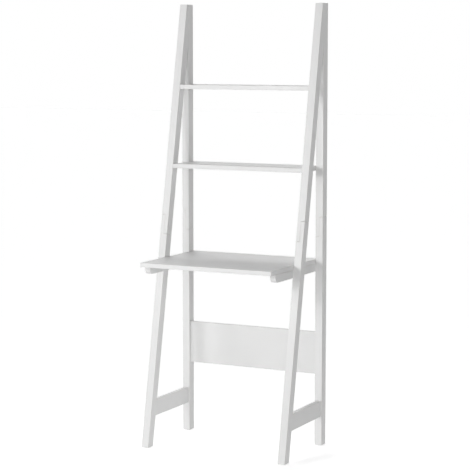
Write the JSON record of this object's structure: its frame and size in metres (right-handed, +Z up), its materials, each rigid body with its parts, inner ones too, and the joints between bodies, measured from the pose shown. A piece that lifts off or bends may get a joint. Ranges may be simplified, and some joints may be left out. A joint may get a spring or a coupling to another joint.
{
  "type": "ladder desk",
  "caption": "Free-standing ladder desk: leaning front legs against upright rear posts, two shelves, a desktop that reaches forward on bearers, and a low back panel.",
  "frame": {"origin": "on the floor, under the middle of the desk's width and depth", "axes": "+Z up, +X to the right as seen from the front, +Y to the back"},
  "size_m": [0.64, 0.45, 1.785],
  "materials": {
    "painted_frame": "white satin paint on solid wood",
    "painted_board": "white satin paint on board",
    "zinc_steel": "bright zinc plating",
    "brass": "turned brass",
    "beech": "bare beech",
    "white_cap": "white moulded plastic",
    "glide": "pale moulded plastic"
  },
  "bodies": {
    "root": {"left_front_leg_lower": "painted_frame", "left_front_leg_upper": "painted_frame", "left_rear_post_lower": "painted_frame", "left_rear_post_upper": "painted_frame", "left_side_stretcher": "painted_frame", "left_desk_bearer": "painted_frame", "right_front_leg_lower": "painted_frame", "right_front_leg_upper": "painted_frame", "right_rear_post_lower": "painted_frame", "right_rear_post_upper": "painted_frame", "right_side_stretcher": "painted_frame", "right_desk_bearer": "painted_frame", "desktop": "painted_board", "middle_shelf": "painted_board", "upper_shelf": "painted_board", "back_panel": "painted_board", "stretcher_dowels": "beech", "apex_screws": "zinc_steel", "lap_bolts": "zinc_steel", "lap_inserts": "brass", "bearer_bolts": "zinc_steel", "bearer_inserts": "brass", "desktop_screws": "zinc_steel", "shelf_bolts": "zinc_steel", "shelf_barrel_nuts": "zinc_steel", "panel_bolts": "zinc_steel", "panel_barrel_nuts": "zinc_steel", "cover_caps": "white_cap", "foot_glides": "glide"}
  },
  "joints": []
}
